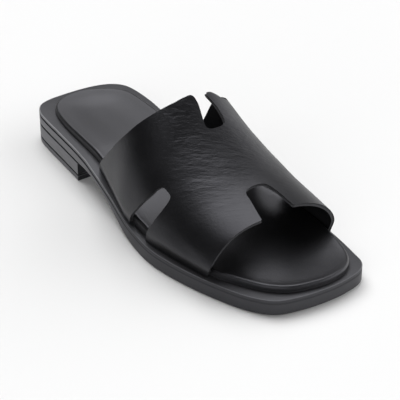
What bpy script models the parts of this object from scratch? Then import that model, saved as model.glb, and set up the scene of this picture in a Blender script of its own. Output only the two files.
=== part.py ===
"""A right-foot slide sandal: block heel, thin welt, padded footbed and a one-piece strap with four legs.

Tables are in millimetres in the shoe's own axes: x from the back of the heel towards the toe,
lateral and medial half widths from the line through the middle of the heel, z up from the floor.
The finished part stands on the floor with the toe towards +X and the medial side towards +Y.
"""
import math

import bmesh
import bpy
import numpy as np
from mathutils import Vector
from mathutils.geometry import delaunay_2d_cdt

MM = 0.001
GAP = 0.3

# Sole
BREAST = 71.0
SEAT_Z = 13.0
LIFT_Z = 4.0
WELT = 2.1
GROOVE = 0.5
EDGE_BREAK = 0.8

# Footbed
HEEL_DISH = 1.6
BALL_DISH = 0.8
DISH_RUN = 20.0

# Strap
LEATHER = 2.0
TUCK_HEIGHT = 10.0
ACROSS = 72.0

# Mesh
STEP = 5.0
GRID = 11.0
STRAP_GRID = 5.5

# Sole outline, half widths along the two sides: x, lateral, medial
SOLE_SIDES = (
    (16.0, 32.8, 31.4),
    (27.0, 34.6, 33.4),
    (45.0, 36.2, 33.4),
    (70.0, 38.5, 31.0),
    (95.0, 41.6, 29.6),
    (120.0, 45.3, 30.6),
    (145.0, 49.5, 36.2),
    (168.0, 51.8, 41.6),
    (185.0, 50.3, 43.8),
    (205.0, 45.8, 44.0),
    (225.0, 39.2, 42.2),
    (240.0, 32.3, 39.8),
)

# Sole outline round the two ends: x, y with medial positive
SOLE_TOE = ((248.5, 37.6), (254.6, 31.0), (257.4, 19.5), (258.0, 7.0), (256.2, -9.0), (251.2, -23.5))
SOLE_HEEL = ((8.0, -28.2), (4.4, -21.0), (3.3, -10.0), (3.4, 4.0), (5.0, 16.0), (9.0, 25.6))

# Footbed outline: x, lateral, medial
FOOTBED_SIDES = (
    (20.0, 23.8, 18.9),
    (30.0, 27.6, 26.0),
    (45.0, 30.2, 27.4),
    (60.0, 31.6, 26.8),
    (75.0, 32.8, 26.0),
    (95.0, 34.6, 25.0),
    (120.0, 40.2, 26.4),
    (140.0, 44.6, 30.6),
    (163.0, 46.5, 37.0),
    (181.0, 44.6, 39.6),
    (201.0, 41.0, 40.1),
    (215.0, 37.8, 39.2),
    (223.0, 34.1, 38.1),
    (231.0, 29.8, 36.6),
)
FOOTBED_TOE = (
    (241.0, 33.3), (248.5, 28.2), (253.4, 20.5), (255.2, 10.5), (254.4, 1.0), (250.4, -12.3), (242.0, -22.4),
)
FOOTBED_HEEL = ((13.6, -17.0), (10.6, -8.0), (10.4, 1.0), (13.8, 9.6))

# Footbed: x, height of its rim above the ledge, most at the waist
FOOTBED_RIM = (
    (0.0, 4.0),
    (25.0, 4.0),
    (60.0, 4.8),
    (90.0, 5.8),
    (120.0, 6.3),
    (152.0, 6.5),
    (180.0, 5.9),
    (222.0, 5.1),
    (246.0, 4.4),
    (260.0, 4.4),
)

# Heights along the shoe: x, top of the ledge
LEDGE = (
    (-5.0, 21.5),
    (60.0, 21.5),
    (80.0, 21.1),
    (94.0, 19.3),
    (106.0, 17.4),
    (120.0, 15.0),
    (130.0, 12.9),
    (140.0, 11.3),
    (151.0, 10.4),
    (168.0, 10.0),
    (235.0, 10.1),
    (260.0, 11.2),
)

# Underside of the sole: x, z
UNDERSIDE = (
    (-5.0, 13.3),
    (72.0, 13.3),
    (82.0, 13.8),
    (91.0, 13.5),
    (103.0, 12.0),
    (116.0, 8.9),
    (128.0, 5.0),
    (140.0, 1.8),
    (150.0, 0.4),
    (158.0, 0.0),
    (236.0, 0.0),
    (250.0, 0.8),
    (260.0, 1.9),
)

# The last under the strap: x, lateral bulge, medial bulge, crown z, y of the crown, fullness
LAST = (
    (85.0, 3.0, 4.5, 118.0, 3.0, 2.0),
    (110.0, 2.8, 4.5, 101.0, 3.0, 2.0),
    (126.0, 2.6, 4.3, 91.0, 3.0, 2.05),
    (142.0, 2.2, 3.4, 79.8, 3.0, 2.1),
    (159.0, 1.6, 2.0, 66.4, 2.5, 2.15),
    (177.0, 2.2, 1.5, 55.4, 2.5, 2.2),
    (195.0, 3.0, 1.8, 47.4, 2.5, 2.25),
    (218.0, 3.6, 2.6, 41.8, 2.0, 2.3),
    (235.0, 4.0, 3.6, 39.4, 2.0, 2.3),
)

# Strap pattern, edge by edge: x, share of the way from the crown to the base (lateral negative)
BACK_LATERAL = (
    (94.5, -1.0), (101.0, -0.94), (107.8, -0.87), (116.4, -0.77), (126.0, -0.63), (132.3, -0.5),
    (137.0, -0.37), (140.4, -0.22), (141.2, -0.13), (141.5, -0.06),
)
BACK_NOTCH = (
    (141.5, -0.06), (146.0, -0.052), (150.8, -0.06), (155.3, -0.07), (158.2, -0.068), (159.8, -0.04),
    (160.2, 0.01), (159.6, 0.06), (157.6, 0.105), (152.3, 0.112), (147.7, 0.09), (143.0, 0.05),
)
BACK_MEDIAL = (
    (143.0, 0.05), (142.3, 0.13), (141.9, 0.2), (140.0, 0.28), (133.6, 0.41), (120.6, 0.64), (110.7, 0.8),
    (103.7, 0.9), (96.0, 1.0),
)
MEDIAL_NOTCH = (
    (145.0, 1.0), (148.2, 0.9), (151.3, 0.81), (154.6, 0.745), (159.6, 0.69), (165.0, 0.66), (168.8, 0.665),
    (170.9, 0.72), (172.4, 0.83), (173.8, 1.0),
)
FRONT_MEDIAL = ((215.2, 1.0), (217.6, 0.76), (218.4, 0.5), (218.3, 0.3), (217.8, 0.13))
FRONT_NOTCH = (
    (217.8, 0.13), (211.2, 0.12), (204.8, 0.105), (199.5, 0.08), (197.2, 0.04), (196.5, -0.02),
    (197.7, -0.08), (200.2, -0.102), (205.0, -0.11), (212.7, -0.132), (219.6, -0.16),
)
FRONT_LATERAL = (
    (219.6, -0.16), (218.1, -0.34), (217.5, -0.55), (217.0, -0.7), (215.4, -0.86), (211.5, -1.0),
)
LATERAL_NOTCH = (
    (163.0, -1.0), (167.7, -0.88), (170.3, -0.81), (173.0, -0.71), (174.5, -0.61), (173.6, -0.552),
    (169.8, -0.545), (166.1, -0.555), (163.4, -0.605), (161.0, -0.68), (154.7, -0.81), (149.3, -0.9),
    (143.0, -1.0),
)

# Corners rounded with the knife, as the length cut back on both sides
BACK_ROUND = 1.8
FRONT_ROUND = 0.8
LEG_ROUND = 2.0


def clear_scene():
    for item in list(bpy.data.objects):
        bpy.data.objects.remove(item, do_unlink=True)


def material(name, colour, roughness, metallic=0.0):
    made = bpy.data.materials.new(name)
    made.use_nodes = True
    shader = made.node_tree.nodes["Principled BSDF"]
    shader.inputs["Base Color"].default_value = (*colour, 1.0)
    shader.inputs["Roughness"].default_value = roughness
    shader.inputs["Metallic"].default_value = metallic
    made.diffuse_color = (*colour, 1.0)
    return made


def along(table, column):
    """A smooth curve of one column of a table over its first, level wherever the column turns or rests."""
    xs = [row[0] for row in table]
    ys = [row[column] for row in table]
    rates = [(ys[i + 1] - ys[i]) / (xs[i + 1] - xs[i]) for i in range(len(xs) - 1)]
    slopes = [rates[0]]
    for before, after in zip(rates, rates[1:]):
        turning = before * after <= 0.0
        slopes.append(0.0 if turning else 2.0 * before * after / (before + after))
    slopes.append(rates[-1])

    def value(x):
        i = 0
        while i < len(xs) - 2 and x > xs[i + 1]:
            i += 1
        span = xs[i + 1] - xs[i]
        t = min(max((x - xs[i]) / span, 0.0), 1.0)
        rise = ys[i + 1] - ys[i]
        ease = t * t * (3.0 - 2.0 * t)
        start = t * (1.0 - t) ** 2
        end = t * t * (t - 1.0)
        return ys[i] + ease * rise + span * (start * slopes[i] + end * slopes[i + 1])

    return value


def smooth_curve(points, closed, step):
    """Points about one step apart on a smooth curve through the given points."""
    count = len(points)
    spans = count if closed else count - 1
    made = []
    for i in range(spans):
        if closed:
            around = [points[(i + k) % count] for k in (-1, 0, 1, 2)]
        else:
            around = [points[min(max(i + k, 0), count - 1)] for k in (-1, 0, 1, 2)]
        a, b, c, d = [np.array(point, dtype=float) for point in around]
        pieces = max(int(round(np.linalg.norm(c - b) / step)), 1)
        for k in range(pieces):
            t = k / pieces
            tangents = (c - a) * (t - 2 * t ** 2 + t ** 3) / 2 + (d - b) * (t ** 3 - t ** 2) / 2
            made.append(b + (c - b) * (3 * t ** 2 - 2 * t ** 3) + tangents)
    if not closed:
        made.append(np.array(points[-1], dtype=float))
    return made


def outline(sides, toe, heel):
    """A closed outline, counter-clockwise seen from above."""
    lateral = [(x, -width) for x, width, _ in sides]
    medial = [(x, width) for x, _, width in reversed(sides)]
    return smooth_curve(lateral + list(reversed(toe)) + medial + list(reversed(heel)), True, STEP)


def normals(loop):
    turned = []
    for i in range(len(loop)):
        run = loop[(i + 1) % len(loop)] - loop[i - 1]
        turned.append(np.array((-run[1], run[0])) / np.linalg.norm(run))
    return turned


def inset(loop, amount):
    return [point + normal * amount for point, normal in zip(loop, normals(loop))]


def edge_distance(points, loop):
    """Distance from each point to the loop."""
    starts = np.array(loop)
    runs = np.roll(starts, -1, axis=0) - starts
    offset = points[:, None, :] - starts[None, :, :]
    share = np.clip((offset * runs).sum(axis=2) / (runs ** 2).sum(axis=1), 0.0, 1.0)
    return np.linalg.norm(offset - share[..., None] * runs, axis=2).min(axis=1)


def inside(points, loop):
    """Whether each point is inside the loop, counting the sides that a ray crosses."""
    starts = np.array(loop)
    ends = np.roll(starts, -1, axis=0)
    x = points[:, None, 0]
    y = points[:, None, 1]
    spans = (starts[:, 1] > y) != (ends[:, 1] > y)
    rise = np.where(ends[:, 1] == starts[:, 1], 1.0, ends[:, 1] - starts[:, 1])
    crossing = starts[:, 0] + (y - starts[:, 1]) * (ends[:, 0] - starts[:, 0]) / rise
    return (spans & (x < crossing)).sum(axis=1) % 2 == 1


def filled(loop, spacing):
    """Flat triangles that fill a loop: its own points first, then a staggered grid inside it."""
    corners = np.array(loop)
    low = corners.min(axis=0)
    high = corners.max(axis=0)
    row_step = spacing * math.sqrt(0.75)
    grid = []
    for row in range(int((high[1] - low[1]) / row_step) + 1):
        shift = spacing / 2 if row % 2 else 0.0
        for column in range(int((high[0] - low[0]) / spacing) + 2):
            grid.append((low[0] + shift + column * spacing, low[1] + row * row_step))
    grid = np.array(grid)
    grid = grid[inside(grid, loop) & (edge_distance(grid, loop) > spacing * 0.5)]
    flat = [Vector(point) for point in loop] + [Vector(point) for point in grid]
    made = delaunay_2d_cdt(flat, [], [list(range(len(loop)))], 1, 1e-5)
    order = [sources[0] for sources in made[3]]
    triangles = [[order[i] for i in face] for face in made[2]]
    return [np.array(point) for point in flat], triangles


def add_object(name, vertices, faces, look):
    mesh = bpy.data.meshes.new(name)
    mesh.from_pydata([Vector(vertex) * MM for vertex in vertices], [], faces)
    work = bmesh.new()
    work.from_mesh(mesh)
    bmesh.ops.recalc_face_normals(work, faces=work.faces)
    work.to_mesh(mesh)
    work.free()
    mesh.materials.append(look)
    mesh.shade_smooth()
    mesh.set_sharp_from_angle(angle=math.radians(35.0))
    made = bpy.data.objects.new(name, mesh)
    bpy.context.scene.collection.objects.link(made)
    return made


def slab(name, loop, rings, look, dish=None):
    """A layer of the shoe, closed by a cap below and one above.

    Each ring is an inset from the outline and a height as a function of x, from the bottom up.
    A dish sinks the upper cap by its distance from the cap's edge.
    """
    vertices = []
    faces = []
    count = len(loop)
    for amount, height in rings:
        vertices += [(x - CENTRE[0], y - CENTRE[1], height(x)) for x, y in inset(loop, amount)]
    for ring in range(len(rings) - 1):
        for i in range(count):
            near = ring * count + i
            far = ring * count + (i + 1) % count
            faces.append((near, far, far + count, near + count))
    for ring in (0, len(rings) - 1):
        amount, height = rings[ring]
        flat, triangles = filled(inset(loop, amount), GRID)
        grid = np.array(flat[count:])
        sink = np.zeros(len(grid))
        if dish and ring:
            sink = dish(grid[:, 0], edge_distance(grid, flat[:count]))
        first = len(vertices)
        for (x, y), drop in zip(grid, sink):
            vertices.append((x - CENTRE[0], y - CENTRE[1], height(x) - drop))
        place = [ring * count + i if i < count else first + i - count for i in range(len(flat))]
        faces += [[place[i] for i in face] for face in triangles]
    return add_object(name, vertices, faces, look)


SOLE = outline(SOLE_SIDES, SOLE_TOE, SOLE_HEEL)
SOLE_MIN = np.array(SOLE).min(axis=0)
SOLE_MAX = np.array(SOLE).max(axis=0)
CENTRE = (SOLE_MIN + SOLE_MAX) / 2
FOOTBED_LOOP = outline(FOOTBED_SIDES, FOOTBED_TOE, FOOTBED_HEEL)

ledge = along(LEDGE, 1)
underside = along(UNDERSIDE, 1)
footbed_rim = along(FOOTBED_RIM, 1)


def above(curve, rise):
    return lambda x: curve(x) + rise


def level(z):
    return lambda x: z


def below_rim(drop):
    return lambda x: ledge(x) + footbed_rim(x) - drop


def make_outsole(look):
    top = WELT + GAP
    rings = (
        (EDGE_BREAK, underside),
        (0.0, above(underside, EDGE_BREAK)),
        (0.0, above(ledge, -top - GROOVE)),
        (GROOVE, above(ledge, -top)),
    )
    return slab("outsole", SOLE, rings, look)


def make_midsole(look):
    rings = (
        (GROOVE, above(ledge, -WELT)),
        (0.0, above(ledge, GROOVE - WELT)),
        (0.0, above(ledge, -GROOVE)),
        (GROOVE, ledge),
    )
    return slab("midsole", SOLE, rings, look)


def heel_outline():
    """The sole's outline behind the breast, closed by the straight breast."""
    behind = [point for point in SOLE if point[0] < BREAST - STEP / 2]
    turn = next(i for i in range(len(behind)) if np.linalg.norm(behind[i] - behind[i - 1]) > 3 * STEP)
    behind = behind[turn:] + behind[:turn]
    start = along(SOLE_SIDES, 2)(BREAST)
    end = -along(SOLE_SIDES, 1)(BREAST)
    pieces = int((start - end) / STEP)
    breast = [np.array((BREAST, end + (start - end) * k / pieces)) for k in range(pieces + 1)]
    if behind[0][1] < 0:
        breast.reverse()
    return behind + breast


def make_heel(block_look, lift_look):
    loop = heel_outline()
    block = (
        (GROOVE, level(LIFT_Z + GAP)),
        (0.0, level(LIFT_Z + GAP + GROOVE)),
        (0.0, level(SEAT_Z - GROOVE)),
        (GROOVE, level(SEAT_Z)),
    )
    lift = (
        (GROOVE, level(0.0)),
        (0.0, level(GROOVE)),
        (0.0, level(LIFT_Z - GROOVE)),
        (GROOVE, level(LIFT_Z)),
    )
    slab("heel_block", loop, block, block_look)
    slab("heel_top_lift", loop, lift, lift_look)


def footbed_dish(x, distance):
    """How far the top of the footbed sinks: most under the heel, less under the ball."""
    heel = HEEL_DISH * np.exp(-((x - 40.0) / 40.0) ** 2)
    ball = BALL_DISH * np.exp(-((x - 195.0) / 35.0) ** 2)
    share = np.clip(distance / DISH_RUN, 0.0, 1.0)
    return (heel + ball) * share * share * (3.0 - 2.0 * share)


def make_insole(look):
    rings = (
        (0.3, above(ledge, GAP)),
        (0.0, above(ledge, 0.8)),
        (0.0, below_rim(1.2)),
        (0.5, below_rim(0.5)),
        (1.4, below_rim(0.1)),
        (4.0, below_rim(0.0)),
    )
    return slab("insole", FOOTBED_LOOP, rings, look, footbed_dish)


def make_surface():
    """The outer face of the strap: a point for each x and share of the way across."""
    lateral_base = along(FOOTBED_SIDES, 1)
    medial_base = along(FOOTBED_SIDES, 2)
    lateral_bulge = along(LAST, 1)
    medial_bulge = along(LAST, 2)
    crown = along(LAST, 3)
    crown_y = along(LAST, 4)
    fullness = along(LAST, 5)
    clearance = LEATHER + 1.5 * GAP

    def surface(x, share):
        side = -1.0 if share < 0 else 1.0
        base = lateral_base(x) if share < 0 else medial_base(x)
        bulge = lateral_bulge(x) if share < 0 else medial_bulge(x)
        middle = crown_y(x)
        width = base + clearance + bulge - side * middle
        foot = ledge(x) + GAP
        angle = min(abs(share), 1.0) * math.pi / 2
        power = 2.0 / fullness(x)
        rise = (crown(x) - foot) * max(math.cos(angle), 0.0) ** power
        reach = width * math.sin(angle) ** power
        low = max(1.0 - rise / TUCK_HEIGHT, 0.0)
        reach -= bulge * low * low * (3.0 - 2.0 * low)
        return np.array((x, middle + side * reach, foot + rise))

    return surface


def surface_normal(surface, x, share):
    nudge_x = 0.4
    nudge = 0.005
    ahead = surface(x + nudge_x, share) - surface(x - nudge_x, share)
    low = max(share - nudge, -1.0)
    high = min(share + nudge, 1.0)
    aside = surface(x, high) - surface(x, low)
    out = np.cross(ahead, aside)
    return out / np.linalg.norm(out)


def trimmed(points, length, from_end):
    """A run of points with a length cut off one end."""
    run = list(reversed(points)) if from_end else list(points)
    left = length
    while left > 0.0 and len(run) > 2:
        piece = np.linalg.norm(run[1] - run[0])
        if piece > left + 0.5:
            run[0] = run[0] + (run[1] - run[0]) * left / piece
            break
        left -= piece
        run.pop(0)
    return list(reversed(run)) if from_end else run


def strap_pattern():
    """The closed outline of the strap in x and across, both in millimetres."""
    lateral_back = (LATERAL_NOTCH[-1], BACK_LATERAL[0])
    medial_back = (BACK_MEDIAL[-1], MEDIAL_NOTCH[0])
    medial_front = (MEDIAL_NOTCH[-1], FRONT_MEDIAL[0])
    lateral_front = (FRONT_LATERAL[-1], LATERAL_NOTCH[0])
    edges = (
        (BACK_LATERAL, BACK_ROUND), (BACK_NOTCH, BACK_ROUND), (BACK_MEDIAL, 0.0), (medial_back, 0.0),
        (MEDIAL_NOTCH, 0.0), (medial_front, 0.0), (FRONT_MEDIAL, FRONT_ROUND), (FRONT_NOTCH, FRONT_ROUND),
        (FRONT_LATERAL, LEG_ROUND), (lateral_front, 0.0), (LATERAL_NOTCH, 0.0), (lateral_back, 0.0),
    )
    runs = []
    for table, _ in edges:
        runs.append(smooth_curve([(x, share * ACROSS) for x, share in table], False, STRAP_GRID * 0.7))
    corners = [run[-1] for run in runs]
    for i, (_, cut) in enumerate(edges):
        if cut:
            runs[i] = trimmed(runs[i], cut, True)
            following = (i + 1) % len(runs)
            runs[following] = trimmed(runs[following], cut, False)
    loop = []
    for i, (_, cut) in enumerate(edges):
        loop += runs[i] if cut else runs[i][:-1]
        if cut:
            start = runs[i][-1]
            end = runs[(i + 1) % len(runs)][0]
            for t in (0.25, 0.5, 0.75):
                loop.append(start * (1 - t) ** 2 + corners[i] * 2 * t * (1 - t) + end * t * t)
    return loop


def make_upper(look):
    surface = make_surface()
    loop = strap_pattern()
    flat, triangles = filled(loop, STRAP_GRID)
    outer = []
    inner = []
    for x, across in flat:
        share = across / ACROSS
        point = surface(x, share)
        outer.append(point)
        inner.append(point - surface_normal(surface, x, share) * LEATHER)
    count = len(flat)
    vertices = []
    for x, y, z in outer + inner:
        vertices.append((x - CENTRE[0], y - CENTRE[1], z))
    faces = [tuple(face) for face in triangles]
    faces += [tuple(i + count for i in reversed(face)) for face in triangles]
    for i in range(len(loop)):
        following = (i + 1) % len(loop)
        faces.append((following, i, i + count, following + count))
    return add_object("upper", vertices, faces, look)


def main():
    clear_scene()
    make_outsole(material("sole_black", (0.02, 0.02, 0.022), 0.6))
    make_midsole(material("welt_black", (0.05, 0.05, 0.053), 0.5))
    block = material("heel_black", (0.04, 0.04, 0.042), 0.55)
    lift = material("lift_black", (0.02, 0.02, 0.02), 0.7)
    make_heel(block, lift)
    make_insole(material("footbed_leather", (0.05, 0.05, 0.053), 0.55))
    make_upper(material("strap_leather", (0.02, 0.02, 0.022), 0.4))


main()
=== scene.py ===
"""The looks of a right-foot slide sandal: black leather strap, padded footbed, dyed welt and stacked sole.

Tables are in millimetres in the shoe's own axes: x from the back of the heel towards the toe, lateral
and medial half widths from the line through the middle of the heel, z up from the floor. They repeat
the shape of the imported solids, which the pieces here stand for. Only the strap's medial back edge and
the footbed's medial heel edge are drawn a few millimetres further in, as the photographed shoe has them.
"""
import math

import bmesh
import bpy
import numpy as np
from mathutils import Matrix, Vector
from mathutils.geometry import delaunay_2d_cdt


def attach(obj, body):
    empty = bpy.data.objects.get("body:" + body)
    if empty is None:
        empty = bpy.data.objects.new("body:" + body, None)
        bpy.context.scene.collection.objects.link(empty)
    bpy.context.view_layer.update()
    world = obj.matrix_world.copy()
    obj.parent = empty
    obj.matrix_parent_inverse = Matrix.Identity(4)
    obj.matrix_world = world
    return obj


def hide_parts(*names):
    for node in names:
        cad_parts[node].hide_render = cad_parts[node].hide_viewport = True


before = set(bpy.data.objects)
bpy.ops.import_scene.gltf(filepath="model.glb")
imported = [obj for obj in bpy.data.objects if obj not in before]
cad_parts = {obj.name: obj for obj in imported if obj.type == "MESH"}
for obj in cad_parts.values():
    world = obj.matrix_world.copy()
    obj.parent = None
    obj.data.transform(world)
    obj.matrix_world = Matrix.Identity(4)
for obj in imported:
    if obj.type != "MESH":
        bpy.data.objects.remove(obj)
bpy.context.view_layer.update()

# One millimetre in metres, and the air between two layers
MM = 0.001
GAP = 0.3

# Sole: x of the breast and how squarely its faces look at the toe, heights of heel seat and lift, welt
BREAST = 71.0
FACING_TOE = 0.9
SEAT_Z = 13.0
LIFT_Z = 4.0
WELT = 2.1

# Groove between welt and outsole: its depth, the share of it left towards the toe, the x where it is
# shut and the run over which it closes, and the hair of air that always stays
GROOVE = 1.3
GROOVE_LEFT = 0.05
GROOVE_SHUT = 150.0
GROOVE_FADE = 60.0
HAIR = 0.03

# Footbed: depth, place and reach of the dishes under heel and ball, and the unevenness of the padding
HEEL_DISH = 1.6
HEEL_AT = 40.0
HEEL_REACH = 40.0
BALL_DISH = 0.8
BALL_AT = 195.0
BALL_REACH = 35.0
DISH_RUN = 20.0
UNEVEN = 0.08

# Strap: half its pattern is ACROSS wide, and its foot turns in below TUCK_HEIGHT
LEATHER = 2.0
TUCK_HEIGHT = 10.0
ACROSS = 72.0

# Mesh: spacing of points and grids, the shortest side kept, and the angles from which edges are sharp
STEP = 2.0
COARSE = 8.0
FOOTBED_GRID = 3.0
STRAP_STEP = 1.3
STRAP_GRID = 1.8
SHORTEST = 0.2
SHARP = 40.0
STRAP_SHARP = 50.0

# Where footbed and sole edge turn from paler heel to black toe; on the footbed it is painted light and
# shade
FOOTBED_LIGHT_FADE = (80.0, 170.0)
EDGE_FADE = (60.0, 150.0)

# Sole: x, lateral half width, medial half width; its ends as x, y
SOLE_SIDES = (
    (16.0, 32.8, 31.4),
    (27.0, 34.6, 33.4),
    (45.0, 36.2, 33.4),
    (70.0, 38.5, 31.0),
    (95.0, 41.6, 29.6),
    (120.0, 45.3, 30.6),
    (145.0, 49.5, 36.2),
    (168.0, 51.8, 41.6),
    (185.0, 50.3, 43.8),
    (205.0, 45.8, 44.0),
    (225.0, 39.2, 42.2),
    (240.0, 32.3, 39.8),
)
SOLE_TOE = ((248.5, 37.6), (254.6, 31.0), (257.4, 19.5), (258.0, 7.0), (256.2, -9.0), (251.2, -23.5))
SOLE_HEEL = ((8.0, -28.2), (4.4, -21.0), (3.3, -10.0), (3.4, 4.0), (5.0, 16.0), (9.0, 25.6))

# Footbed: x, lateral half width, medial half width; its ends as x, y
FOOTBED_SIDES = (
    (20.0, 23.8, 18.9),
    (30.0, 27.6, 25.2),
    (45.0, 30.2, 26.2),
    (60.0, 31.6, 25.6),
    (75.0, 32.8, 25.2),
    (95.0, 34.6, 25.0),
    (120.0, 40.2, 26.4),
    (140.0, 44.6, 30.6),
    (163.0, 46.5, 37.0),
    (181.0, 44.6, 39.6),
    (201.0, 41.0, 40.1),
    (215.0, 37.8, 39.2),
    (223.0, 34.1, 38.1),
    (231.0, 29.8, 36.6),
)
FOOTBED_TOE = (
    (241.0, 33.3), (248.5, 28.2), (253.4, 20.5), (255.2, 10.5), (254.4, 1.0), (250.4, -12.3),
    (242.0, -22.4),
)
FOOTBED_HEEL = ((13.6, -17.0), (10.6, -8.0), (10.4, 1.0), (13.8, 9.6))

# Footbed: x, height of its rim above the ledge, most at the waist
FOOTBED_RIM = (
    (0.0, 4.0),
    (25.0, 4.0),
    (60.0, 4.8),
    (90.0, 5.8),
    (120.0, 6.3),
    (152.0, 6.5),
    (180.0, 5.9),
    (222.0, 5.1),
    (246.0, 4.4),
    (260.0, 4.4),
)

# Ledge round the footbed: x, z
LEDGE = (
    (-5.0, 21.5),
    (60.0, 21.5),
    (80.0, 21.1),
    (94.0, 19.3),
    (106.0, 17.4),
    (120.0, 15.0),
    (130.0, 12.9),
    (140.0, 11.3),
    (151.0, 10.4),
    (168.0, 10.0),
    (235.0, 10.1),
    (260.0, 11.2),
)

# Underside of the outsole: x, z
UNDERSIDE = (
    (-5.0, 13.3),
    (72.0, 13.3),
    (82.0, 13.8),
    (91.0, 13.5),
    (103.0, 12.0),
    (116.0, 8.9),
    (128.0, 5.0),
    (140.0, 1.8),
    (150.0, 0.4),
    (158.0, 0.0),
    (236.0, 0.0),
    (250.0, 0.8),
    (260.0, 1.9),
)

# The last under the strap: x, lateral bulge, medial bulge, crown z, y of the crown, fullness
LAST = (
    (85.0, 3.0, 4.5, 118.0, 3.0, 2.0),
    (110.0, 2.8, 4.5, 101.0, 3.0, 2.0),
    (126.0, 2.6, 4.3, 91.0, 3.0, 2.05),
    (142.0, 2.2, 3.4, 79.8, 3.0, 2.1),
    (159.0, 1.6, 2.0, 66.4, 2.5, 2.15),
    (177.0, 2.2, 1.5, 55.4, 2.5, 2.2),
    (195.0, 3.0, 1.8, 47.4, 2.5, 2.25),
    (218.0, 3.6, 2.6, 41.8, 2.0, 2.3),
    (235.0, 4.0, 3.6, 39.4, 2.0, 2.3),
)

# Strap pattern, edge by edge: x, share of the way from the crown to the base (lateral negative)
BACK_LATERAL = (
    (94.5, -1.0), (101.0, -0.94), (107.8, -0.87), (116.4, -0.77), (126.0, -0.63), (132.3, -0.5),
    (137.0, -0.37), (140.4, -0.22), (141.2, -0.13), (141.5, -0.06),
)
BACK_NOTCH = (
    (141.5, -0.06), (146.0, -0.052), (150.8, -0.06), (155.3, -0.07), (158.2, -0.068), (159.8, -0.04),
    (160.2, 0.01), (159.6, 0.06), (157.6, 0.105), (152.3, 0.112), (147.7, 0.09), (143.0, 0.05),
)
BACK_MEDIAL = (
    (143.0, 0.05), (142.8, 0.12), (143.8, 0.18), (144.6, 0.26), (140.6, 0.4), (121.6, 0.64), (110.7, 0.8),
    (103.7, 0.9), (96.0, 1.0),
)
MEDIAL_NOTCH = (
    (145.0, 1.0), (148.2, 0.9), (151.3, 0.81), (154.6, 0.745), (159.6, 0.69), (165.0, 0.66), (168.8, 0.665),
    (170.9, 0.72), (172.4, 0.83), (173.8, 1.0),
)
FRONT_MEDIAL = ((215.2, 1.0), (217.6, 0.76), (218.4, 0.5), (218.3, 0.3), (217.8, 0.13))
FRONT_NOTCH = (
    (217.8, 0.13), (211.2, 0.12), (204.8, 0.105), (199.5, 0.08), (197.2, 0.04), (196.5, -0.02),
    (197.7, -0.08), (200.2, -0.102), (205.0, -0.11), (212.7, -0.132), (219.6, -0.16),
)
FRONT_LATERAL = (
    (219.6, -0.16), (218.1, -0.34), (217.5, -0.55), (217.0, -0.7), (215.4, -0.86), (211.5, -1.0),
)
LATERAL_NOTCH = (
    (163.0, -1.0), (167.7, -0.88), (170.3, -0.81), (173.0, -0.71), (174.5, -0.61), (173.6, -0.552),
    (169.8, -0.545), (166.1, -0.555), (163.4, -0.605), (161.0, -0.68), (154.7, -0.81), (149.3, -0.9),
    (143.0, -1.0),
)

# Rounding of the pattern's corners, and the points along each rounded one
BACK_ROUND = 1.8
FRONT_ROUND = 0.8
LEG_ROUND = 2.0
CORNER_POINTS = (0.2, 0.4, 0.6, 0.8)

# Soft troughs and ridges of the strap: x, across, half length, half width, turn in degrees, height
CREASES = (
    (176.0, -22.0, 16.0, 1.8, 62.0, -0.09),
    (180.5, -18.0, 18.0, 1.6, 60.0, -0.08),
    (184.0, -12.0, 20.0, 1.8, 58.0, -0.1),
    (171.0, -10.0, 15.0, 1.5, 64.0, -0.07),
    (187.5, -4.0, 14.0, 1.6, 60.0, -0.07),
    (167.0, 8.0, 13.0, 1.8, 70.0, -0.06),
    (139.0, -22.0, 6.0, 1.6, 40.0, -0.14),
    (143.0, -18.0, 7.0, 1.6, 30.0, -0.16),
    (147.0, -12.0, 7.0, 1.5, 35.0, -0.14),
    (112.0, -62.0, 10.0, 3.5, 10.0, 0.25),
    (126.0, -64.0, 9.0, 3.0, 15.0, -0.2),
    (182.0, -62.0, 12.0, 3.5, 5.0, 0.2),
    (200.0, -60.0, 12.0, 4.0, -8.0, -0.2),
    (120.0, 60.0, 12.0, 3.5, -10.0, 0.22),
    (192.0, 60.0, 12.0, 4.0, 5.0, -0.2),
)

# Camera, in metres of the frame: the photo's viewpoint, and a lens that fills the frame with one shoe
CAMERA_AT = (0.6269, -0.4217, 0.4798)
CAMERA_AIM = (0.0267, -0.0040, 0.0200)
LENS = 135.1

# Studio: the dim room, its paper floor and its soft panels, each as a direction, the half angles at
# which its core and its fade end, and its strength
ROOM = 0.05
PAPER = (0.8, 0.8, 0.8, 1.0)
PANELS = (
    ((-0.42, 0.1, 0.87), 20.0, 33.0, 4.2),
    ((0.25, 1.0, 0.12), 3.0, 58.0, 2.2),
    ((0.55, -0.77, 0.3), 8.0, 36.0, 2.1),
    ((0.92, 0.3, 0.22), 10.0, 38.0, 1.2),
)


def along(table, column):
    """A smooth curve of one column of a table over its first, level wherever the column turns or rests."""
    xs = [row[0] for row in table]
    ys = [row[column] for row in table]
    rates = [(ys[i + 1] - ys[i]) / (xs[i + 1] - xs[i]) for i in range(len(xs) - 1)]
    slopes = [rates[0]]
    for before, after in zip(rates, rates[1:]):
        turning = before * after <= 0.0
        slopes.append(0.0 if turning else 2.0 * before * after / (before + after))
    slopes.append(rates[-1])

    def value(x):
        i = 0
        while i < len(xs) - 2 and x > xs[i + 1]:
            i += 1
        span = xs[i + 1] - xs[i]
        t = min(max((x - xs[i]) / span, 0.0), 1.0)
        rise = ys[i + 1] - ys[i]
        ease = t * t * (3.0 - 2.0 * t)
        start = t * (1.0 - t) ** 2
        end = t * t * (t - 1.0)
        return ys[i] + ease * rise + span * (start * slopes[i] + end * slopes[i + 1])

    return value


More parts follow.
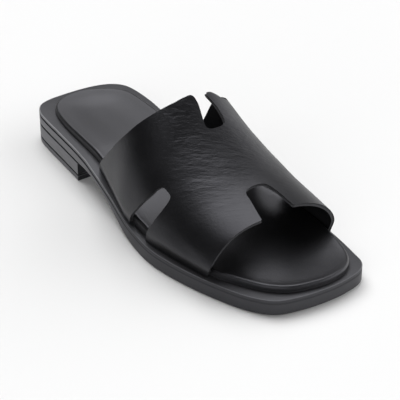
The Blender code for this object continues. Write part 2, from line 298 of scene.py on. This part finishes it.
def smooth_curve(points, closed, step):
    """Points about one step apart on a smooth curve through the given points."""
    count = len(points)
    spans = count if closed else count - 1
    made = []
    for i in range(spans):
        if closed:
            around = [points[(i + k) % count] for k in (-1, 0, 1, 2)]
        else:
            around = [points[min(max(i + k, 0), count - 1)] for k in (-1, 0, 1, 2)]
        a, b, c, d = [np.array(point, dtype=float) for point in around]
        pieces = max(int(round(np.linalg.norm(c - b) / step)), 1)
        for k in range(pieces):
            t = k / pieces
            tangents = (c - a) * (t - 2 * t ** 2 + t ** 3) / 2 + (d - b) * (t ** 3 - t ** 2) / 2
            made.append(b + (c - b) * (3 * t ** 2 - 2 * t ** 3) + tangents)
    if not closed:
        made.append(np.array(points[-1], dtype=float))
    return made


def outline(sides, toe, heel):
    """The closed outline of a layer, from its half widths and its two ends."""
    lateral = [(x, -width) for x, width, _ in sides]
    medial = [(x, width) for x, _, width in reversed(sides)]
    return smooth_curve(lateral + list(reversed(toe)) + medial + list(reversed(heel)), True, STEP)


def inset(loop, amount):
    """The loop moved inwards by an amount, or by a curve of it over x."""
    moved = []
    for i in range(len(loop)):
        run = loop[(i + 1) % len(loop)] - loop[i - 1]
        reach = amount(loop[i][0]) if callable(amount) else amount
        moved.append(loop[i] + np.array((-run[1], run[0])) / np.linalg.norm(run) * reach)
    return moved


def edge_distance(points, loop):
    """Distance from each point to the loop."""
    starts = np.array(loop)
    runs = np.roll(starts, -1, axis=0) - starts
    lengths = (runs ** 2).sum(axis=1)
    nearest = []
    for point in points:
        offset = point - starts
        share = np.clip((offset * runs).sum(axis=1) / lengths, 0.0, 1.0)
        nearest.append(np.linalg.norm(offset - share[:, None] * runs, axis=1).min())
    return np.array(nearest)


def inside(points, loop):
    """Whether each point is inside the loop, counting the sides that a ray crosses."""
    starts = np.array(loop)
    ends = np.roll(starts, -1, axis=0)
    x = points[:, None, 0]
    y = points[:, None, 1]
    spans = (starts[:, 1] > y) != (ends[:, 1] > y)
    rise = np.where(ends[:, 1] == starts[:, 1], 1.0, ends[:, 1] - starts[:, 1])
    crossing = starts[:, 0] + (y - starts[:, 1]) * (ends[:, 0] - starts[:, 0]) / rise
    return (spans & (x < crossing)).sum(axis=1) % 2 == 1


def filled(loop, spacing):
    """Flat triangles that fill a loop: its own points first, then a staggered grid inside it."""
    corners = np.array(loop)
    low = corners.min(axis=0)
    high = corners.max(axis=0)
    row_step = spacing * math.sqrt(0.75)
    grid = []
    for row in range(int((high[1] - low[1]) / row_step) + 1):
        shift = spacing / 2 if row % 2 else 0.0
        for column in range(int((high[0] - low[0]) / spacing) + 2):
            grid.append((low[0] + shift + column * spacing, low[1] + row * row_step))
    grid = np.array(grid)
    grid = grid[inside(grid, loop)]
    distance = edge_distance(grid, loop)
    clear = distance > spacing * 0.5
    grid = grid[clear]
    flat = [Vector(point) for point in loop] + [Vector(point) for point in grid]
    made = delaunay_2d_cdt(flat, [], [list(range(len(loop)))], 1, 1e-6)
    order = [sources[0] for sources in made[3]]
    triangles = [[order[i] for i in face] for face in made[2]]
    return [np.array(point) for point in flat], triangles, distance[clear]


SOLE = outline(SOLE_SIDES, SOLE_TOE, SOLE_HEEL)
FOOTBED_LOOP = outline(FOOTBED_SIDES, FOOTBED_TOE, FOOTBED_HEEL)
SOLE_LOW = np.array(SOLE).min(axis=0)
SOLE_HIGH = np.array(SOLE).max(axis=0)
MIDDLE = (SOLE_LOW + SOLE_HIGH) / 2

ledge = along(LEDGE, 1)
underside = along(UNDERSIDE, 1)
footbed_rim = along(FOOTBED_RIM, 1)


def placed(x, y, z):
    """A point of the shoe's own axes in the frame, in metres."""
    return Vector((x - MIDDLE[0], y - MIDDLE[1], z)) * MM


def new_piece(name, node, vertices, faces, picks, looks, sharp):
    """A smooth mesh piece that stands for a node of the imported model."""
    mesh = bpy.data.meshes.new(name)
    mesh.from_pydata(vertices, [], faces)
    for look in looks:
        mesh.materials.append(look)
    mesh.polygons.foreach_set("material_index", picks)
    work = bmesh.new()
    work.from_mesh(mesh)
    bmesh.ops.recalc_face_normals(work, faces=work.faces)
    work.to_mesh(mesh)
    work.free()
    mesh.shade_smooth()
    mesh.set_sharp_from_angle(angle=math.radians(sharp))
    made = bpy.data.objects.new(name, mesh)
    bpy.context.scene.collection.objects.link(made)
    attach(made, "root")
    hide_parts(node)
    return made


def skin(loop, rows, spacing, cap_looks, point):
    """A closed mesh: bands between rows that follow the loop, and a filled cap on the first and last row.

    A row is its inset, its height or depth, and the look of the band up to the next row. The function
    point gives the place of x, y on a row by its number, at a distance in from the row's own edge.
    """
    vertices = []
    faces = []
    picks = []
    count = len(loop)
    for row, (amount, _, _) in enumerate(rows):
        vertices += [point(x, y, row, 0.0) for x, y in inset(loop, amount)]
    for row, (_, _, look) in enumerate(rows[:-1]):
        for i in range(count):
            near = row * count + i
            far = row * count + (i + 1) % count
            faces.append((near, far, far + count, near + count))
            picks.append(look)
    for row, look in zip((0, len(rows) - 1), cap_looks):
        flat, triangles, distance = filled(inset(loop, rows[row][0]), spacing)
        first = len(vertices)
        vertices += [point(x, y, row, far_in) for (x, y), far_in in zip(flat[count:], distance)]
        spots = [row * count + i if i < count else first + i - count for i in range(len(flat))]
        faces += [[spots[i] for i in face] for face in triangles]
        picks += [look] * len(triangles)
    return vertices, faces, picks


def slab(name, node, loop, rows, looks, spacing=COARSE, sink=None):
    """A layer of the shoe, from rows of inset, height over x and look, dished above where it has a sink."""

    def point(x, y, row, far_in):
        drop = sink(x, y, far_in) if sink and row else 0.0
        return placed(x, y, rows[row][1](x) - drop)

    return new_piece(name, node, *skin(loop, rows, spacing, (0, 0), point), looks, SHARP)


def above(curve, rise):
    """A height over x that keeps a rise above a curve."""
    return lambda x: curve(x) + rise


def level(z):
    """The same height at every x."""
    return lambda x: z


def below_rim(drop):
    """A height over x that stays a drop below the footbed's rim."""
    return lambda x: ledge(x) + footbed_rim(x) - drop


# Materials: the dye tints what the surfaces reflect very slightly towards blue

DYE = (0.9, 0.9, 1.0, 1.0)


def tree_of(name, roughness=0.5, specular=0.5):
    """A new material, its node tree and its shader."""
    look = bpy.data.materials.new(name)
    look.use_nodes = True
    shader = look.node_tree.nodes["Principled BSDF"]
    shader.inputs["Roughness"].default_value = roughness
    shader.inputs["Specular IOR Level"].default_value = specular
    shader.inputs["Specular Tint"].default_value = DYE
    return look, look.node_tree, shader


def feed(tree, value, socket):
    """Set a socket to a number, or link another node's output to it."""
    if isinstance(value, float):
        socket.default_value = value
    else:
        tree.links.new(value, socket)


def object_space(tree, stretch=(1.0, 1.0, 1.0), turn=0.0):
    """The shoe's own coordinates, turned about the upright and then stretched."""
    place = tree.nodes.new("ShaderNodeTexCoord")
    mapping = tree.nodes.new("ShaderNodeMapping")
    mapping.vector_type = "TEXTURE"
    mapping.inputs["Scale"].default_value = [1.0 / value for value in stretch]
    mapping.inputs["Rotation"].default_value = (0.0, 0.0, math.radians(turn))
    tree.links.new(place.outputs["Object"], mapping.inputs["Vector"])
    return mapping.outputs["Vector"]


def noise(tree, scale, detail=3.0, rough=0.5, stretch=(1.0, 1.0, 1.0), turn=0.0):
    """Clouds, fibres or wrinkles, by scale, detail and stretch."""
    made = tree.nodes.new("ShaderNodeTexNoise")
    made.inputs["Scale"].default_value = scale
    made.inputs["Detail"].default_value = detail
    made.inputs["Roughness"].default_value = rough
    tree.links.new(object_space(tree, stretch, turn), made.inputs["Vector"])
    return made.outputs["Fac"]


def cells(tree, scale):
    """The small round grain of leather or rubber."""
    made = tree.nodes.new("ShaderNodeTexVoronoi")
    made.feature = "SMOOTH_F1"
    made.inputs["Scale"].default_value = scale
    made.inputs["Smoothness"].default_value = 0.6
    tree.links.new(object_space(tree), made.inputs["Vector"])
    return made.outputs["Distance"]


def spread(tree, value, low, high, first, last, ease="LINEAR"):
    """Map a value from one range to another."""
    made = tree.nodes.new("ShaderNodeMapRange")
    made.interpolation_type = ease
    made.inputs["From Min"].default_value = low
    made.inputs["From Max"].default_value = high
    made.inputs["To Min"].default_value = first
    made.inputs["To Max"].default_value = last
    tree.links.new(value, made.inputs["Value"])
    return made.outputs["Result"]


def near_point(tree, centre, reach):
    """One at a point of the shoe, falling to nothing at its reach in metres."""
    place = tree.nodes.new("ShaderNodeTexCoord")
    gap = tree.nodes.new("ShaderNodeVectorMath")
    gap.operation = "DISTANCE"
    gap.inputs[1].default_value = placed(*centre)
    tree.links.new(place.outputs["Object"], gap.inputs[0])
    return spread(tree, gap.outputs["Value"], reach * 0.35, reach, 1.0, 0.0)


def combine(tree, operation, first, second):
    """Two values added or multiplied, each a number or another node's output."""
    made = tree.nodes.new("ShaderNodeMath")
    made.operation = operation
    feed(tree, first, made.inputs[0])
    feed(tree, second, made.inputs[1])
    return made.outputs["Value"]


def bumps(tree, shader, layers):
    """Chain bump layers of height, strength and depth in millimetres into the shader."""
    last = None
    for height, strength, depth in layers:
        bump = tree.nodes.new("ShaderNodeBump")
        bump.inputs["Distance"].default_value = depth * MM
        feed(tree, strength, bump.inputs["Strength"])
        tree.links.new(height, bump.inputs["Height"])
        if last:
            tree.links.new(last, bump.inputs["Normal"])
        last = bump.outputs["Normal"]
    tree.links.new(last, shader.inputs["Normal"])


def forward(tree, back, front):
    """Nothing behind one x of the shoe, rising to one at another."""
    place = tree.nodes.new("ShaderNodeTexCoord")
    split = tree.nodes.new("ShaderNodeSeparateXYZ")
    tree.links.new(place.outputs["Object"], split.inputs["Vector"])
    low = placed(back, 0.0, 0.0)[0]
    high = placed(front, 0.0, 0.0)[0]
    return spread(tree, split.outputs["X"], low, high, 0.0, 1.0)


def blend_colour(tree, shader, share, first, last):
    """Give the shader a colour that runs from the first to the last with the share."""
    mix = tree.nodes.new("ShaderNodeMix")
    mix.data_type = "RGBA"
    mix.inputs["A"].default_value = (*first, 1.0)
    mix.inputs["B"].default_value = (*last, 1.0)
    tree.links.new(share, mix.inputs["Factor"])
    tree.links.new(mix.outputs["Result"], shader.inputs["Base Color"])


def strap_leather():
    """Smooth calf: fine pores, faint clouding, and small wrinkles where the strap flexes."""
    look, tree, shader = tree_of("strap leather", specular=0.41)
    clouds = noise(tree, 38.0, 4.0)
    blend_colour(tree, shader, clouds, (0.0012, 0.0012, 0.0013), (0.003, 0.003, 0.0032))
    tree.links.new(spread(tree, noise(tree, 60.0, 5.0), 0.3, 0.7, 0.35, 0.43), shader.inputs["Roughness"])
    wrinkles = noise(tree, 330.0, 4.0, 0.6, (1.0, 0.22, 1.0), -33.0)
    flex = near_point(tree, (172.0, -4.0, 52.0), 0.05)
    pebbles = noise(tree, 420.0, 3.0, 0.55, (1.0, 0.6, 1.0), -33.0)
    flap = near_point(tree, (142.0, -14.0, 77.0), 0.032)
    bumps(tree, shader, (
        (wrinkles, combine(tree, "MULTIPLY", flex, 0.9), 0.5),
        (pebbles, combine(tree, "MULTIPLY", flap, 0.9), 0.4),
        (noise(tree, 700.0, 3.0), 0.4, 0.12),
        (cells(tree, 1900.0), 0.25, 0.04),
    ))
    return look


def raw_edge():
    """The cut edge of the leather, dyed but fibrous."""
    look, tree, shader = tree_of("cut edge", 0.6)
    fibres = noise(tree, 1500.0, 4.0, 0.7)
    blend_colour(tree, shader, fibres, (0.012, 0.012, 0.0122), (0.028, 0.028, 0.0285))
    bumps(tree, shader, ((fibres, 0.6, 0.12),))
    return look


def lining():
    """The flesh side of the strap, a close matt nap."""
    look, tree, shader = tree_of("strap lining", 0.78, 0.2)
    nap = noise(tree, 1800.0, 4.0, 0.7)
    blend_colour(tree, shader, nap, (0.002, 0.002, 0.0021), (0.005, 0.005, 0.0052))
    bumps(tree, shader, ((nap, 0.5, 0.08),))
    return look


def footbed_leather():
    """Padded lining leather: even fine grain, duller at the heel than at the toe. Painted paler at the heel
    as its sheen, and darker towards the toe as the shade under the strap.
    """
    look, tree, shader = tree_of("footbed leather")
    toward_toe = forward(tree, *FOOTBED_LIGHT_FADE)
    # Painted sheen at the heel, painted shade towards the toe under the strap
    blend_colour(tree, shader, toward_toe, (0.034, 0.034, 0.0362), (0.004, 0.004, 0.0043))
    tree.links.new(spread(tree, toward_toe, 0.0, 1.0, 0.46, 0.36), shader.inputs["Roughness"])
    bumps(tree, shader, (
        (cells(tree, 950.0), 0.45, 0.08),
        (noise(tree, 2200.0, 3.0), 0.35, 0.05),
        (noise(tree, 90.0, 3.0), 0.2, 0.25),
    ))
    return look


def footbed_wall():
    """The footbed's skived and dyed side, painted paler at the heel as the light on it and near black
    towards the toe as the shade there.
    """
    look, tree, shader = tree_of("footbed side", 0.6, 0.3)
    toward_toe = forward(tree, *FOOTBED_LIGHT_FADE)
    # Painted light and shade: paler at the heel where light falls on the side, near black towards the toe
    blend_colour(tree, shader, toward_toe, (0.034, 0.034, 0.036), (0.005, 0.005, 0.0053))
    bumps(tree, shader, ((cells(tree, 1000.0), 0.35, 0.06),))
    return look


def footbed_rim_shade():
    """The footbed's rounded rim, painted near black as the shade of the dark line along its top edge, and
    polished.
    """
    look, tree, shader = tree_of("footbed rim", 0.38)
    # Painted shade: the dark line along the footbed's top edge
    blend_colour(tree, shader, noise(tree, 120.0, 3.0), (0.003, 0.003, 0.0032), (0.007, 0.007, 0.0074))
    bumps(tree, shader, ((cells(tree, 1100.0), 0.3, 0.05),))
    return look


def sole_edge(name, heel, toe, roughness):
    """Dyed and burnished edge, one colour at the heel and one at the toe, with fine level lines. It also
    gives the welt rim's painted highlight, and the painted shade of the groove, the heel's breast and seams
    and the footbed's contact line.
    """
    look, tree, shader = tree_of(name, roughness)
    blend_colour(tree, shader, forward(tree, *EDGE_FADE), heel, toe)
    lines = noise(tree, 260.0, 3.0, 0.6, (0.06, 0.06, 1.2))
    bumps(tree, shader, ((lines, 0.4, 0.1), (noise(tree, 1400.0, 3.0), 0.35, 0.05)))
    return look


def welt_leather():
    """The ledge round the footbed: grained leather, mottled a little."""
    look, tree, shader = tree_of("welt leather", 0.5)
    blend_colour(tree, shader, noise(tree, 120.0, 4.0), (0.022, 0.022, 0.0235), (0.032, 0.032, 0.034))
    bumps(tree, shader, ((cells(tree, 900.0), 0.4, 0.07), (noise(tree, 2000.0, 3.0), 0.3, 0.05)))
    return look


def tread_rubber():
    """The matt, pebbled underside of the outsole."""
    look, tree, shader = tree_of("tread rubber", 0.68)
    blend_colour(tree, shader, noise(tree, 150.0, 4.0), (0.015, 0.015, 0.0158), (0.026, 0.026, 0.0273))
    bumps(tree, shader, ((cells(tree, 600.0), 0.5, 0.12),))
    return look


# Pieces

def openness(x):
    """The groove between welt and outsole is open at the heel and pressed shut towards the toe."""
    return min(max((GROOVE_SHUT - x) / GROOVE_FADE, 0.0), 1.0)


def seam(depth):
    """An inset over x that follows how far the groove is open."""
    return lambda x: depth * (GROOVE_LEFT + (1.0 - GROOVE_LEFT) * openness(x))


def below_welt(drop):
    """A height over x that stays a drop below the groove's upper face."""
    return lambda x: ledge(x) - WELT - HAIR - drop - (GAP - HAIR) * openness(x)


def make_outsole(looks):
    """Looks: tread, edge, the groove's painted shade."""
    rows = (
        (1.4, underside, 0),
        (0.7, above(underside, 0.12), 1),
        (0.2, above(underside, 0.45), 1),
        (0.0, above(underside, 0.95), 1),
        (0.0, below_welt(0.7), 1),
        (seam(0.15), below_welt(0.55), 2),
        (seam(GROOVE), below_welt(0.0), 2),
    )
    slab("outsole_piece", "outsole", SOLE, rows, looks)


def make_midsole(looks):
    """Looks: ledge, edge, the rim's painted highlight, the groove's painted shade."""
    rows = (
        (seam(GROOVE), above(ledge, -WELT), 3),
        (seam(0.15), above(ledge, 0.55 - WELT), 1),
        (0.0, above(ledge, 0.7 - WELT), 1),
        (0.0, above(ledge, -0.6), 1),
        (0.12, above(ledge, -0.24), 2),
        (0.38, above(ledge, -0.05), 2),
        (0.62, ledge, 0),
    )
    slab("midsole_piece", "midsole", SOLE, rows, looks)


def heel_outline():
    """The sole's outline behind the breast, closed by the straight breast."""
    behind = [point for point in SOLE if point[0] < BREAST - STEP / 2]
    turn = next(i for i in range(len(behind)) if np.linalg.norm(behind[i] - behind[i - 1]) > 5 * STEP)
    behind = behind[turn:] + behind[:turn]
    start = along(SOLE_SIDES, 2)(BREAST)
    end = -along(SOLE_SIDES, 1)(BREAST)
    pieces = int((start - end) / STEP)
    breast = [np.array((BREAST, end + (start - end) * k / pieces)) for k in range(pieces + 1)]
    if behind[0][1] < 0:
        breast.reverse()
    return behind + breast


def make_heel(block_looks, lift_looks):
    """The block and its lift. Looks of each: sides, and the painted shade of the breast, under the arch,
    and of the seams.
    """
    loop = heel_outline()
    base = LIFT_Z + GAP
    # The bands at the top and bottom take the seams' painted shade
    block = (
        (1.1, level(base), 1),
        (0.15, level(base + 0.35), 0),
        (0.0, level(base + 0.6), 0),
        (0.0, level(SEAT_Z - 0.8), 0),
        (0.15, level(SEAT_Z - 0.6), 1),
        (1.1, level(SEAT_Z), 1),
    )
    lift = (
        (1.0, level(0.0), 0),
        (0.35, level(0.18), 0),
        (0.0, level(0.7), 0),
        (0.0, level(LIFT_Z - 0.7), 0),
        (0.15, level(LIFT_Z - 0.5), 1),
        (1.1, level(LIFT_Z), 1),
    )
    for piece in (
        slab("heel_block_piece", "heel_block", loop, block, block_looks),
        slab("heel_lift_piece", "heel_top_lift", loop, lift, lift_looks),
    ):
        # Faces that look at the toe, the breast under the arch, take the painted shade
        for face in piece.data.polygons:
            if face.normal.x > FACING_TOE:
                face.material_index = 1


def footbed_sink(x, y, distance):
    """The dish under heel and ball, with the slight unevenness of padding."""
    heel = HEEL_DISH * math.exp(-((x - HEEL_AT) / HEEL_REACH) ** 2)
    ball = BALL_DISH * math.exp(-((x - BALL_AT) / BALL_REACH) ** 2)
    share = min(distance / DISH_RUN, 1.0)
    ease = share * share * (3.0 - 2.0 * share)
    uneven = UNEVEN * math.sin(x / 17.0 + y / 23.0) * math.sin(y / 13.0)
    return (heel + ball + uneven) * ease


def make_footbed(looks):
    """Looks: top, side, the near-black painted shade of the contact line where it meets the ledge, and the
    rim's painted shade.
    """
    # The two lowest bands take the contact line's painted shade, and the bands round the top edge the rim's
    # painted shade
    rows = (
        (0.4, above(ledge, GAP), 2),
        (0.1, above(ledge, 0.5), 2),
        (0.0, above(ledge, 1.5), 1),
        (0.0, below_rim(2.2), 1),
        (0.06, below_rim(1.6), 1),
        (0.2, below_rim(1.3), 3),
        (0.6, below_rim(0.95), 3),
        (0.7, below_rim(0.75), 3),
        (0.6, below_rim(0.55), 3),
        (0.75, below_rim(0.3), 3),
        (1.1, below_rim(0.08), 3),
        (1.7, below_rim(0.0), 0),
        (2.6, below_rim(0.06), 0),
        (4.0, below_rim(0.2), 0),
    )
    piece = slab("footbed_piece", "insole", FOOTBED_LOOP, rows, looks, FOOTBED_GRID, footbed_sink)


def make_surface():
    """The outer face of the strap: a point for each x and share of the way across."""
    lateral_base = along(FOOTBED_SIDES, 1)
    medial_base = along(FOOTBED_SIDES, 2)
    lateral_bulge = along(LAST, 1)
    medial_bulge = along(LAST, 2)
    crown = along(LAST, 3)
    crown_y = along(LAST, 4)
    fullness = along(LAST, 5)
    clearance = LEATHER + 1.5 * GAP

    def surface(x, share):
        side = -1.0 if share < 0 else 1.0
        base = lateral_base(x) if share < 0 else medial_base(x)
        bulge = lateral_bulge(x) if share < 0 else medial_bulge(x)
        middle = crown_y(x)
        width = base + clearance + bulge - side * middle
        foot = ledge(x) + GAP
        angle = min(abs(share), 1.0) * math.pi / 2
        power = 2.0 / fullness(x)
        rise = (crown(x) - foot) * max(math.cos(angle), 0.0) ** power
        reach = width * math.sin(angle) ** power
        low = max(1.0 - rise / TUCK_HEIGHT, 0.0)
        reach -= bulge * low * low * (3.0 - 2.0 * low)
        return np.array((x, middle + side * reach, foot + rise))

    return surface


def surface_normal(surface, x, share):
    """The outward direction of the surface, from points a nudge to each side."""
    nudge_x = 0.4
    nudge = 0.005
    ahead = surface(x + nudge_x, share) - surface(x - nudge_x, share)
    low = max(share - nudge, -1.0)
    high = min(share + nudge, 1.0)
    aside = surface(x, high) - surface(x, low)
    out = np.cross(ahead, aside)
    return out / np.linalg.norm(out)


def trimmed(points, length, from_end):
    """A run of points with a length cut off one end."""
    run = list(reversed(points)) if from_end else list(points)
    left = length
    while left > 0.0 and len(run) > 2:
        piece = np.linalg.norm(run[1] - run[0])
        if piece > left + SHORTEST:
            run[0] = run[0] + (run[1] - run[0]) * left / piece
            break
        left -= piece
        run.pop(0)
    return list(reversed(run)) if from_end else run


def strap_pattern():
    """The closed outline of the strap in x and across, both in millimetres."""
    lateral_back = (LATERAL_NOTCH[-1], BACK_LATERAL[0])
    medial_back = (BACK_MEDIAL[-1], MEDIAL_NOTCH[0])
    medial_front = (MEDIAL_NOTCH[-1], FRONT_MEDIAL[0])
    lateral_front = (FRONT_LATERAL[-1], LATERAL_NOTCH[0])
    edges = (
        (BACK_LATERAL, BACK_ROUND), (BACK_NOTCH, BACK_ROUND), (BACK_MEDIAL, 0.0), (medial_back, 0.0),
        (MEDIAL_NOTCH, 0.0), (medial_front, 0.0), (FRONT_MEDIAL, FRONT_ROUND), (FRONT_NOTCH, FRONT_ROUND),
        (FRONT_LATERAL, LEG_ROUND), (lateral_front, 0.0), (LATERAL_NOTCH, 0.0), (lateral_back, 0.0),
    )
    runs = []
    for table, _ in edges:
        runs.append(smooth_curve([(x, share * ACROSS) for x, share in table], False, STRAP_STEP))
    corners = [run[-1] for run in runs]
    for i, (_, cut) in enumerate(edges):
        if cut:
            runs[i] = trimmed(runs[i], cut, True)
            following = (i + 1) % len(runs)
            runs[following] = trimmed(runs[following], cut, False)
    loop = []
    for i, (_, cut) in enumerate(edges):
        loop += runs[i] if cut else runs[i][:-1]
        if cut:
            start = runs[i][-1]
            end = runs[(i + 1) % len(runs)][0]
            for t in CORNER_POINTS:
                loop.append(start * (1 - t) ** 2 + corners[i] * 2 * t * (1 - t) + end * t * t)
    return loop


def relief(x, across):
    """How far the creases lift or sink the strap at a place on its pattern."""
    total = 0.0
    for at_x, at_across, length, width, turn, height in CREASES:
        angle = math.radians(turn)
        run = (x - at_x) * math.cos(angle) + (across - at_across) * math.sin(angle)
        side = (across - at_across) * math.cos(angle) - (x - at_x) * math.sin(angle)
        total += height * math.exp(-(run / length) ** 2 - (side / width) ** 2)
    return total


def make_strap(looks):
    """Looks: outside, cut edge, lining."""
    surface = make_surface()
    # Rows round the cut edge: inset in the pattern, depth into the leather, look of the band to the next
    rows = (
        (0.42, 0.0, 0),
        (0.14, 0.1, 1),
        (0.0, 0.42, 1),
        (0.0, LEATHER - 0.4, 1),
        (0.12, LEATHER - 0.1, 1),
        (0.4, LEATHER, 1),
    )

    def point(x, across, row, _):
        across = min(max(across, -ACROSS), ACROSS)
        share = across / ACROSS
        out = surface_normal(surface, x, share)
        return placed(*(surface(x, share) + out * (relief(x, across) - rows[row][1])))

    made = skin(strap_pattern(), rows, STRAP_GRID, (0, 2), point)
    new_piece("strap_piece", "upper", *made, looks, STRAP_SHARP)


# Stage

def make_floor():
    """A wide sheet of pale paper."""
    mesh = bpy.data.meshes.new("floor")
    reach = 6.0
    corners = ((-reach, -reach, 0.0), (reach, -reach, 0.0), (reach, reach, 0.0), (-reach, reach, 0.0))
    mesh.from_pydata(corners, [], [(0, 1, 2, 3)])
    look, _, shader = tree_of("floor paper", 0.9, 0.1)
    shader.inputs["Base Color"].default_value = PAPER
    mesh.materials.append(look)
    floor = bpy.data.objects.new("floor", mesh)
    bpy.context.scene.collection.objects.link(floor)


def make_world():
    """A dim, even room with the soft round panels in it."""
    world = bpy.data.worlds.new("room")
    world.use_nodes = True
    tree = world.node_tree
    place = tree.nodes.new("ShaderNodeTexCoord")
    total = None
    for toward, narrow, wide, strength in PANELS:
        facing = tree.nodes.new("ShaderNodeVectorMath")
        facing.operation = "DOT_PRODUCT"
        facing.inputs[1].default_value = Vector(toward).normalized()
        tree.links.new(place.outputs["Generated"], facing.inputs[0])
        low = math.cos(math.radians(wide))
        high = math.cos(math.radians(narrow))
        glow = spread(tree, facing.outputs["Value"], low, high, 0.0, strength, "SMOOTHSTEP")
        total = combine(tree, "ADD", total, glow) if total else glow
    background = tree.nodes["Background"]
    background.inputs["Color"].default_value = (1.0, 1.0, 1.0, 1.0)
    tree.links.new(combine(tree, "ADD", total, ROOM), background.inputs["Strength"])
    bpy.context.scene.world = world


def make_camera():
    """The photographer's view of the one shoe."""
    data = bpy.data.cameras.new("camera")
    data.lens = LENS
    data.sensor_width = 36.0
    data.clip_start = 0.05
    made = bpy.data.objects.new("camera", data)
    made.location = CAMERA_AT
    made.rotation_euler = (Vector(CAMERA_AIM) - Vector(CAMERA_AT)).to_track_quat("-Z", "Y").to_euler()
    bpy.context.scene.collection.objects.link(made)
    bpy.context.scene.camera = made


def main():
    edge = sole_edge("sole edge", (0.13, 0.13, 0.136), (0.024, 0.024, 0.0255), 0.55)
    # Painted highlight: the pale line along the ledge's rounded outer edge, brightest at the heel
    rim = sole_edge("welt rim highlight", (0.22, 0.22, 0.23), (0.06, 0.06, 0.064), 0.45)
    # Painted shade: the dark of the groove between welt and outsole, deepest where it is open at the heel
    groove = sole_edge("groove", (0.006, 0.006, 0.0063), (0.02, 0.02, 0.021), 0.8)
    make_outsole([tread_rubber(), edge, groove])
    make_midsole([welt_leather(), edge, rim, groove])
    stack = sole_edge("heel stack", (0.15, 0.15, 0.157), (0.12, 0.12, 0.126), 0.6)
    lift = sole_edge("lift edge", (0.11, 0.11, 0.115), (0.09, 0.09, 0.094), 0.6)
    # Painted shade: near black on the heel's breast under the arch, on the heel's seams and along the
    # footbed's contact with the ledge
    breast = sole_edge("heel breast shade", (0.012, 0.012, 0.0125), (0.008, 0.008, 0.0083), 0.7)
    make_heel([stack, breast], [lift, breast])
    make_footbed([footbed_leather(), footbed_wall(), breast, footbed_rim_shade()])
    make_strap([strap_leather(), raw_edge(), lining()])
    make_floor()
    make_world()
    make_camera()
    bpy.context.scene.view_settings.view_transform = "Standard"


main()
